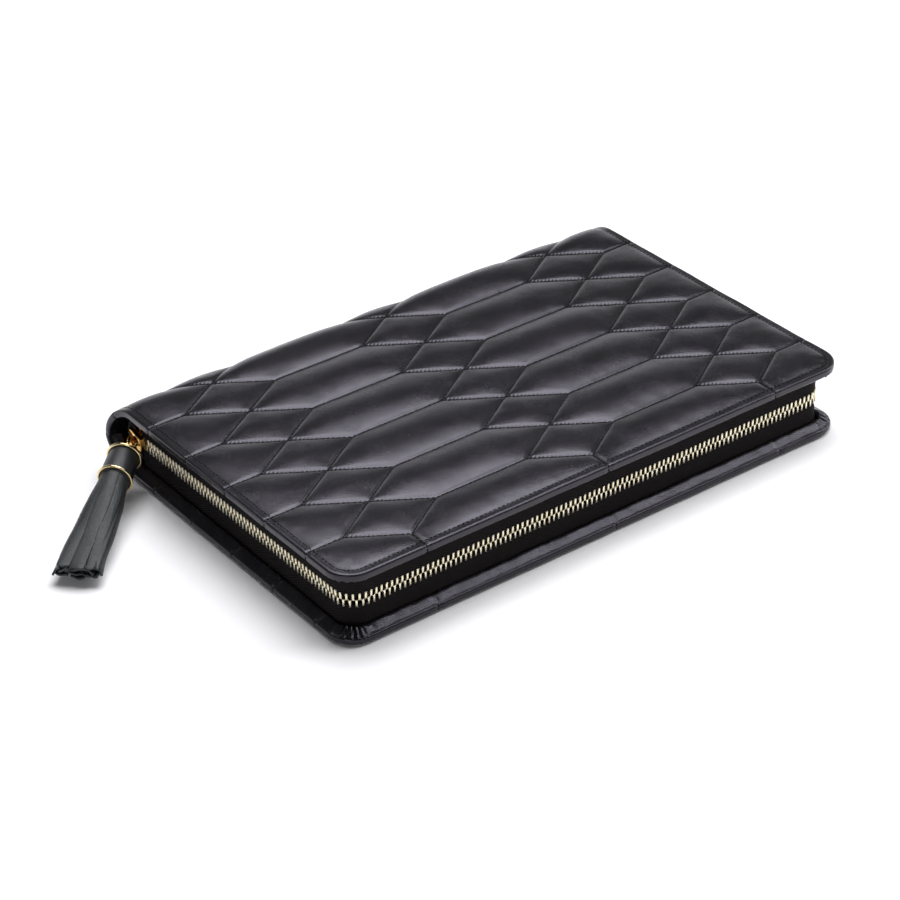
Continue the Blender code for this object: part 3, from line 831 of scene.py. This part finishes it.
# the slider: two plates that fold round the chain, a wedge that parts it, and an arched crown
slider = {
    "centre": (-123.55, 77.0, 17.1),
    "plateStart": 2.05,       # inner face of each plate, from the middle of the chain
    "plateEnd": 3.15,
    "rimStart": 1.0,          # where the folded rim ends
    "backHalf": 4.75,         # half height of the plates at the shoulders
    "chainHalf": 3.2,         # and where the closed chain leaves
    "crownWidth": 2.3,
    "crownOut": 2.75,
    "linkWire": 0.66,
    "linkReach": 6.5,
    "linkRise": 2.3,
}


def sliderPlate(side):
    # rounded shoulders at the open end, narrowing to the chain, the rim folded inward
    s = slider
    outline = []
    for k in range(13):
        a = math.radians(-90 + 180 * k / 12)
        shoulder = 2.3 * math.cos(a) * (0.55 + 0.45 * abs(math.sin(a)))
        outline.append((3.0 + shoulder, s["backHalf"] * math.sin(a)))
    narrow = s["chainHalf"]
    outline += [(0.6, 4.55), (-2.2, 3.5), (-4.9, narrow), (-5.4, narrow - 0.5)]
    outline += [(-5.4, 0.5 - narrow), (-4.9, -narrow), (-2.2, -3.5), (0.6, -4.55)]
    bm = bmesh.new()
    plate = bm.faces.new([bm.verts.new((side * s["plateEnd"], y, z)) for y, z in outline])
    folded = bmesh.ops.extrude_face_region(bm, geom=[plate])["geom"]
    rim = [v for v in folded if isinstance(v, bmesh.types.BMVert)]
    bmesh.ops.translate(bm, vec=(side * (s["rimStart"] - s["plateEnd"]), 0, 0), verts=rim)
    inner = [f for f in folded if isinstance(f, bmesh.types.BMFace)]
    bmesh.ops.inset_region(bm, faces=inner, thickness=0.85)
    bmesh.ops.translate(bm, vec=(side * (s["plateStart"] - s["rimStart"]), 0, 0), verts=inner[0].verts)
    bmesh.ops.recalc_face_normals(bm, faces=bm.faces)
    edge = [e for e in bm.edges if all(abs(abs(v.co.x) - s["plateEnd"]) < 1e-6 for v in e.verts)]
    bmesh.ops.bevel(bm, geom=edge, offset=0.55, offset_type="OFFSET", affect="EDGES",
                    segments=3, profile=0.5, material=-1, clamp_overlap=True)
    return bm


def makeSlider():
    s = slider
    bm = bmesh.new()
    scatter(bm, toMesh(sliderPlate(-1)), [Matrix()])
    scatter(bm, toMesh(sliderPlate(1)), [Matrix()])
    wedge = bmesh.new()
    bmesh.ops.create_cube(wedge, size=1)
    bmesh.ops.scale(wedge, vec=(2 * s["plateEnd"] - 0.8, 2.8, 2.0), verts=wedge.verts)
    across = [e for e in wedge.edges if abs(e.verts[0].co.x - e.verts[1].co.x) > 1]
    bmesh.ops.bevel(wedge, geom=across, offset=0.8, offset_type="OFFSET", affect="EDGES",
                    segments=3, profile=0.5, material=-1, clamp_overlap=True)
    scatter(bm, toMesh(wedge), [Matrix.Translation((0, 3.4, 0))])
    arch = []
    for k in range(17):
        a = math.pi * k / 16
        out = (s["crownOut"] - 0.35) * math.sin(a) ** 0.6
        arch.append((0.2 - s["plateEnd"] - out, 2.75 * math.cos(a), 0))
    crown = tubeAlong(arch, s["crownWidth"] / 2, closed=False, around=14, flat=0.42, side=(0, 0, 1))
    scatter(bm, toMesh(crown), [Matrix()])
    bmesh.ops.translate(bm, vec=s["centre"], verts=bm.verts)
    bmesh.ops.scale(bm, vec=(mm, mm, mm), verts=bm.verts)
    piece = addPiece("slider_body", bm, richGold, smoothAngle=40)
    return piece


tassel = {
    "hinge": (-127.6, 77.0, 17.1),     # where the link turns in the crown
    "heading": 222.5,
    "drop": 8.3,
    "capStart": 4.0,
    "capEnd": 19.4,
    "capRadius": 6.6,
    "ringRadius": 7.05,
    "ringWire": 0.65,
    "eyeRadius": 1.9,
    "eyeWire": 0.5,
    "stripThickness": 0.95,
}
heading, drop = math.radians(tassel["heading"]), math.radians(tassel["drop"])
level = Vector((math.cos(heading), math.sin(heading), 0))
tasselHinge = Vector(tassel["hinge"]) + level * slider["linkReach"]
tasselAlong = level * math.cos(drop) - Vector((0, 0, math.sin(drop)))
tasselSide = Vector((math.sin(heading), -math.cos(heading), 0))
tasselUp = tasselSide.cross(tasselAlong)
if tasselUp.z < 0:
    tasselSide, tasselUp = -tasselSide, -tasselUp
tasselAxes = Matrix((tasselSide, tasselUp, tasselAlong)).transposed().to_4x4()
tasselPlace = Matrix.Diagonal((mm, mm, mm, 1)) @ Matrix.Translation(tasselHinge) @ tasselAxes


def makeLink():
    s = slider
    rise, corner = s["linkRise"], 0.9
    loop = [(corner - corner * math.sin(a), -rise + corner - corner * math.cos(a))
            for a in (math.pi / 2 * k / 4 for k in range(5))]
    loop += [(u, -v) for u, v in reversed(loop)]
    loop += [(s["linkReach"] - rise + rise * math.cos(a), rise * math.sin(a))
             for a in (math.pi / 2 - math.pi * k / 20 for k in range(21))]
    start = Vector(tassel["hinge"])
    points = [start + Vector((math.cos(heading) * u, math.sin(heading) * u, v)) for u, v in loop]
    bm = tubeAlong(points, s["linkWire"], closed=True, around=14)
    bmesh.ops.scale(bm, vec=(mm, mm, mm), verts=bm.verts)
    return addPiece("pull_link_wire", bm, richGold)


sliderBody = makeSlider()
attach(sliderBody, "slider")
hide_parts("zip_slider")
linkWire = makeLink()
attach(linkWire, "pull")
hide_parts("pull_link")
print("slider made")


# the tassel: a leather barrel between two rings, and a bunch of flat leather strips
barrelLeather = makeLeather("smooth black leather barrel", {
    "grain": 0.7, "dark": "#1b1b1e", "light": "#26262a", "roughness": 0.45, "bump": 0.2,
    "sheen": "#ffffff"}, "Object")
stripLeather = makeLeather("slate black nappa strips", {
    "grain": 0.8, "dark": "#1d2123", "light": "#292e30", "roughness": 0.50, "bump": 0.5,
    "sheen": "#ffffff"})


def makeBarrel():
    t = tassel
    start, end, r = t["capStart"], t["capEnd"], t["capRadius"]
    profile = [(0, start), (r - 1.9, start), (r - 0.8, start + 0.25), (r - 0.2, start + 0.9)]
    profile += [(r, start + 2.0)]
    profile += [(r + 0.16 * math.sin(math.pi * k / 8), start + 2.0 + (end - start - 3.0) * k / 8)
                for k in range(1, 8)]
    profile += [(r, end - 1.0), (r - 0.15, end - 0.3), (r - 0.6, end), (r - 1.4, end - 0.1), (0, end - 0.3)]
    bm = turned(profile, 64)
    # the seam where the leather's end is pasted down
    for v in bm.verts:
        reach = math.hypot(v.co.x, v.co.y)
        if reach > r - 0.3 and abs(math.degrees(math.atan2(v.co.y, v.co.x)) + 38) < 4:
            v.co.x *= 1.045
            v.co.y *= 1.045
    bm.transform(tasselPlace)
    return addPiece("tassel_barrel", bm, barrelLeather)


def makeRing(name, s):
    t = tassel
    wire = t["ringWire"]
    profile = [(t["ringRadius"] - wire * math.cos(a), s + wire * math.sin(a))
               for a in (2 * math.pi * k / 14 for k in range(15))]
    bm = turned(profile, 72)
    bm.transform(tasselPlace)
    return addPiece(name, bm, ringGold)


def makeEye():
    t = tassel
    r, foot = t["eyeRadius"], t["capStart"] - 0.2
    loop = [(-r, foot), (-r, foot / 2)]
    loop += [(-r * math.cos(a), -r * math.sin(a)) for a in (math.pi * k / 16 for k in range(17))]
    loop += [(r, foot / 2), (r, foot)]
    bm = tubeAlong([(u, 0, v) for u, v in loop], t["eyeWire"], closed=False, around=12)
    bm.transform(tasselPlace)
    return addPiece("tassel_eye_wire", bm, ringGold)


def makeStrip(name, angle, layer, width, start, end, twist, seed):
    # a flat strip that follows the barrel's round at its top and lies flatter towards its end
    us = np.linspace(-1, 1, 7)
    vs = np.linspace(start, end, 26)
    theta = math.radians(angle)

    def place(u, v, column, row):
        t = (v - start) / (end - start)
        ease = smoothStep(t, 0.02, 0.35)
        wide = (5.0 + 3.0 * t + 0.6 * ease) * layer
        tall = (5.0 - 0.9 * ease - 1.5 * t) * layer
        cx, cy = wide * math.cos(theta), tall * math.sin(theta)
        tx, ty = -wide * math.sin(theta), tall * math.cos(theta)
        size = np.hypot(tx, ty)
        tx, ty = tx / size, ty / size
        turn = np.radians(twist[0] + (twist[1] - twist[0]) * t)
        lx, ly = tx * np.cos(turn) + ty * np.sin(turn), ty * np.cos(turn) - tx * np.sin(turn)
        half = width / 2 * (0.82 + 0.18 * ease)
        cup = 0.55 * (1 - 0.7 * ease) * (u * u - 0.3) + 0.12 * u * u
        wave = 0.45 * np.sin(2.2 * math.pi * t + seed) * t + 0.25 * np.sin(5.1 * math.pi * t + 2 * seed) * t
        x = cx + lx * u * half + ty * (wave - cup)
        y = cy + ly * u * half - tx * (wave - cup)
        local = np.stack([x, y, v + 0.5 * np.sin(3 * u + seed) * t, np.ones_like(x)], -1)
        world = local @ np.array(tasselAxes).T
        points = world[:, :3] + np.array(tasselHinge)
        points[:, 2] = np.maximum(points[:, 2], 0.75)
        return points

    bm, column, row = mappedGrid(us, vs, place)
    strip = addPiece(name, bm, stripLeather)
    addModifier(strip, "SOLIDIFY", thickness=tassel["stripThickness"] * mm, offset=-1)
    bevel = addModifier(strip, "BEVEL", width=0.14 * mm, segments=2, limit_method="ANGLE", angle_limit=1.0)
    bevel.harden_normals = False
    return strip


barrel = makeBarrel()
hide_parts("tassel_cap")
topRing = makeRing("tassel_ring_wire_top", tassel["capStart"] + tassel["ringWire"])
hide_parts("tassel_top_ring")
lowerRing = makeRing("tassel_ring_wire_lower", tassel["capEnd"] - tassel["ringWire"])
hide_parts("tassel_lower_ring")
eyeWire = makeEye()
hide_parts("tassel_eye")
# angle round the bunch, layer, width, end, twist at top and end, seed
stripList = [
    (96, 1.0, 5.9, 76.0, (0, 3), 0.3),
    (52, 0.97, 5.0, 75.2, (-4, -16), 1.7),
    (140, 0.98, 5.2, 74.6, (4, 14), 2.9),
    (8, 0.99, 5.2, 75.8, (0, -14), 4.1),
    (176, 1.0, 5.0, 73.8, (0, 18), 5.3),
    (-38, 0.98, 5.4, 75.0, (0, 10), 0.9),
    (-90, 1.0, 5.6, 74.8, (0, 0), 2.2),
    (-140, 0.98, 5.4, 75.5, (0, -12), 3.6),
    (74, 0.62, 5.4, 75.6, (0, 8), 4.9),
    (118, 0.66, 5.2, 74.9, (0, -6), 0.1),
    (20, 0.60, 5.0, 75.9, (0, 0), 1.1),
    (160, 0.62, 5.0, 75.1, (0, 0), 5.9),
    (-60, 0.55, 5.2, 74.4, (0, 6), 3.1),
    (-120, 0.55, 5.2, 75.3, (0, -6), 4.4),
    (90, 0.22, 6.0, 75.2, (0, 0), 2.6),
    (-90, 0.20, 6.0, 74.8, (0, 0), 0.6),
]
strips = []
for index, (angle, layer, width, end, twist, seed) in enumerate(stripList):
    strip = makeStrip("tassel_strip_%02d" % (index + 1), angle, layer, width, 18.6, end, twist, seed)
    strips.append(strip)
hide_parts("tassel_fringe")
for piece in [barrel, topRing, lowerRing, eyeWire] + strips:
    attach(piece, "tassel")
print("tassel made")

# the inside: suede linings, a tray with ring rolls, a gathered pocket and a bar of hooks
lining = {
    "halfWidth": 122.0,
    "front": -74.0,
    "thickness": 0.7,
    "baseDepth": 3.95,       # how deep the lining lies under the leather's face
    "lidDepth": 4.45,
    "spineDepth": 0.35,      # deeper still round the spine
}
wallSuede = makeSuede("black suede wrapped walls", "#1e1b1d", "#2e2b2d", 0.6)
rollSuede = makeSuede("black suede ring rolls", "#201d1f", "#322e31", 0.6)
pocketSuede = makeSuede("black suede gathered pocket", "#1d1a1c", "#2d292c", 0.6, "UV")


def makeLining(name, skin, depth):
    us = np.linspace(-lining["halfWidth"], lining["halfWidth"], 64)
    last = cover["spineY"] + cover["spineLength"] - 0.3
    vs = np.concatenate([np.linspace(lining["front"], 68, 36), np.linspace(70, last, 18)])

    def place(u, v, column, row):
        flat = np.stack([u, v, np.zeros_like(u)], -1)
        lift = 0.12 * softNoise(flat, 18, skin["seed"] + 4) - depth
        return coverPlace(u, v, lift - lining["spineDepth"] * smoothStep(v, 70, 80), skin)

    bm, column, row = mappedGrid(us, vs, place)
    piece = addPiece(name, bm, liningSuede)
    addModifier(piece, "SOLIDIFY", thickness=lining["thickness"] * mm, offset=0)
    skinBlend(piece, skin)
    return piece


baseLining = makeLining("base_suede_lining", baseSkin, lining["baseDepth"])
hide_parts("base_lining")
lidLining = makeLining("lid_suede_lining", lidSkin, lining["lidDepth"])
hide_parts("lid_lining", "spine_lining")
for name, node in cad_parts.items():
    if name.startswith("tray_"):
        node.data.materials[0] = wallSuede
print("linings made")


roll = {"endRound": 2.0, "endScale": 0.72, "lump": 0.16, "lumpSize": 9.0, "flatten": 0.45}


def makeRoll(node, seed):
    # a stuffed suede roll: round on top, flat underneath, pulled in at its two ends
    low, high = (Vector(corner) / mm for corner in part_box(node))
    middle = (low.y + high.y) / 2
    half = (high.y - low.y) / 2
    shoulder = high.z - half
    ends = np.array([0, 0.15, 0.5, 1.0, 1.5, 2.0])
    xs = np.concatenate([low.x + ends, np.linspace(low.x + 3, high.x - 3, 54), high.x - ends[::-1]])
    angles = np.linspace(0, 2 * math.pi, 49)

    def place(u, v, column, row):
        above = np.sin(v) >= 0
        power = np.where(above, 1.0, roll["flatten"])
        y = np.sign(np.cos(v)) * np.abs(np.cos(v)) ** power * half
        z = np.where(above, np.sin(v) * half, -np.abs(np.sin(v)) ** power * (shoulder - low.z))
        inward = np.clip(np.minimum(u - low.x, high.x - u) / roll["endRound"], 0, 1)
        size = roll["endScale"] + (1 - roll["endScale"]) * np.sqrt(1 - (1 - inward) ** 2)
        surface = np.stack([u, y, z], -1)
        size = size - roll["lump"] / half * (1 + softNoise(surface, roll["lumpSize"], seed)) * above
        foot = low.z - shoulder
        return np.stack([u, middle + y * size, shoulder + foot + (z - foot) * size], -1)

    bm, column, row = mappedGrid(xs, angles, place)
    bmesh.ops.remove_doubles(bm, verts=bm.verts, dist=1e-6)
    bmesh.ops.holes_fill(bm, edges=[e for e in bm.edges if e.is_boundary])
    bmesh.ops.recalc_face_normals(bm, faces=bm.faces)
    piece = addPiece(node + "_stuffed", bm, rollSuede, smoothAngle=60)
    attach(piece, "base")
    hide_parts(node)


for index in range(4):
    makeRoll("ring_roll_%d" % (index + 1), 11.0 + index)
print("ring rolls made")


pocket = {
    "halfWidth": 74.6,
    "foot": 61.8,            # where it is sewn to the lid's lining; its mouth is towards the front
    "length": 62.0,
    "ceiling": 28.7,
    "drop": 5.9,             # how far its mouth stands off
    "folds": 17,
    "foldDepth": 0.45,
    "thickness": 0.6,
    "flat": (0.153, 0.063),
}


def pocketHeight(u, v):
    p = pocket
    t = v / p["length"]
    side = 1 - (np.abs(u) / p["halfWidth"]) ** 10
    belly = 0.9 * smoothStep(t, -0.02, 0.30) + 0.1 * t
    sway = softNoise(np.stack([u, v * 0.3, np.zeros_like(u)], -1), 14, 4)
    fold = np.sin(math.pi * p["folds"] * u / p["halfWidth"] + 1.6 * sway)
    sag = 0.5 * sway * t * (1 - t)
    return p["ceiling"] - side * (p["drop"] * belly + p["foldDepth"] * fold * t ** 1.3 + sag)


def makePocket():
    p = pocket
    us = np.linspace(-p["halfWidth"], p["halfWidth"], 301)
    vs = np.linspace(0, p["length"], 34)

    def place(u, v, column, row):
        return np.stack([u, p["foot"] - v, pocketHeight(u, v)], -1)

    bm, column, row = mappedGrid(us, vs, place)
    piece = addPiece("lid_gathered_pocket", bm, pocketSuede)
    addModifier(piece, "SOLIDIFY", thickness=p["thickness"] * mm, offset=0)
    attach(piece, "lid")
    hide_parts("lid_pocket")


def makeElasticMaterial():
    # braided elastic: ribs across the band of soft yarns, dull, with the grooves between the ribs painted
    # darker as shade
    made, tree, shader = startMaterial("ribbed black elastic", 0.85, Specular_IOR_Level=0.25)
    place = addNode(tree, "ShaderNodeTexCoord").outputs["Object"]
    rib = addNode(tree, "ShaderNodeTexWave", {"bands_direction": "X"}, {
        "Vector": place, "Scale": math.pi / 10 / (1.1 * mm), "Distortion": 0.4, "Detail": 1.0})
    # painted shade: the colour is darker in the grooves between the ribs, lighter on their crests
    tint = addNode(tree, "ShaderNodeValToRGB", inputs={"Fac": rib.outputs["Fac"]})
    rampStops(tint, [(0.2, "#0c0b0c"), (0.8, "#242123")])
    bump = addNode(tree, "ShaderNodeBump", inputs={
        "Strength": 0.6, "Distance": 0.25 * mm, "Height": rib.outputs["Fac"]})
    linkShader(tree, shader, Base_Color=tint.outputs["Color"], Normal=bump.outputs["Normal"])
    return made


def makeElastic():
    p = pocket
    xs = np.linspace(-p["halfWidth"] + 0.4, p["halfWidth"] - 0.4, 260)
    heights = pocketHeight(xs, np.full_like(xs, p["length"]))
    points = [(x, p["foot"] - p["length"] - 0.5, z) for x, z in zip(xs, heights)]
    bm = tubeAlong(points, 0.85, closed=False, around=12, flat=0.62, side=(0, 0, 1))
    bmesh.ops.scale(bm, vec=(mm, mm, mm), verts=bm.verts)
    piece = addPiece("pocket_elastic_band", bm, makeElasticMaterial())
    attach(piece, "lid")
    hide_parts("pocket_elastic")


makePocket()
makeElastic()
print("pocket made")


necklace = {"stitchInset": 1.3, "hookWire": 0.6, "hookStem": 2.8, "hookBend": 1.8, "tip": 0.78}
hookGold = makeGold("gold plated brass hooks", ("#dcb266", "#efcf90"), 0.18, 0.15)


def makeBar():
    # a folded leather strap stitched along both edges
    low, high = (Vector(corner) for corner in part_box("necklace_bar"))
    bm = bmesh.new()
    bmesh.ops.create_cube(bm, size=1)
    bmesh.ops.scale(bm, vec=high - low, verts=bm.verts)
    bmesh.ops.translate(bm, vec=(low + high) / 2, verts=bm.verts)
    bmesh.ops.bevel(bm, geom=bm.edges[:], offset=0.45 * mm, offset_type="OFFSET", affect="EDGES",
                    segments=3, profile=0.5, material=-1, clamp_overlap=True)
    strap = addPiece("necklace_strap", bm, barrelLeather, smoothAngle=40)
    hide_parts("necklace_bar")
    bm = bmesh.new()
    inset = necklace["stitchInset"] * mm
    for y in (low.y + inset, high.y - inset):
        for x in np.arange(low.x + 2 * mm, high.x - mm, 2.4 * mm):
            place = Matrix.Translation((x, y, low.z))
            size = Matrix.Diagonal((0.95 * mm, 0.24 * mm, 0.16 * mm, 1))
            bmesh.ops.create_icosphere(bm, subdivisions=1, radius=1, matrix=place @ size)
    seam = addPiece("necklace_strap_thread", bm, threadBlack)
    for piece in (strap, seam):
        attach(piece, "lid")


def makeHook(node):
    n = necklace
    low, high = (Vector(corner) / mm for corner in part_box(node))
    x, y, top = (low.x + high.x) / 2, high.y - n["hookWire"], high.z
    points = [(x, y, top - n["hookStem"] * k / 6) for k in range(6)]
    for k in range(21):
        a = math.radians(180 + 165 * k / 20)
        across, down = n["hookBend"] * (1 + math.cos(a)), n["hookBend"] * math.sin(a)
        points.append((x, y - across, top - n["hookStem"] + down))
    bm = tubeAlong(points, n["hookWire"], closed=False, around=14, side=(1, 0, 0))
    bmesh.ops.create_uvsphere(bm, u_segments=14, v_segments=8, radius=n["tip"],
                              matrix=Matrix.Translation(points[-1]))
    bmesh.ops.scale(bm, vec=(mm, mm, mm), verts=bm.verts)
    hook = addPiece(node + "_wire", bm, hookGold)
    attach(hook, "lid")
    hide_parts(node)


makeBar()
for index in range(5):
    makeHook("necklace_hook_%d" % (index + 1))
print("hooks made")


def makeFiller(name, roughness, dark, light, size, depth):
    # layers that the leather hides: loose fibres in the wadding, pressed pulp in the board
    made, tree, shader = startMaterial(name, roughness)
    place = addNode(tree, "ShaderNodeTexCoord").outputs["Object"]
    fibre = addNode(tree, "ShaderNodeTexNoise", inputs={
        "Vector": place, "Scale": 1 / (size * mm), "Detail": 5.0, "Distortion": 1.2})
    tint = addNode(tree, "ShaderNodeValToRGB", inputs={"Fac": fibre.outputs["Fac"]})
    rampStops(tint, [(0.3, dark), (0.7, light)])
    bump = addNode(tree, "ShaderNodeBump", inputs={
        "Strength": 0.6, "Distance": depth * mm, "Height": fibre.outputs["Fac"]})
    linkShader(tree, shader, Base_Color=tint.outputs["Color"], Normal=bump.outputs["Normal"])
    return made


waddingFibre = makeFiller("white polyester wadding", 1.0, "#d4d2cc", "#eceae4", 1.2, 0.4)
greyBoard = makeFiller("grey pressed board", 0.9, "#8b867d", "#a29d93", 0.5, 0.06)
for half in ("base", "lid"):
    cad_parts[half + "_wadding"].data.materials[0] = waddingFibre
    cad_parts[half + "_board"].data.materials[0] = greyBoard
print("hidden layers finished")
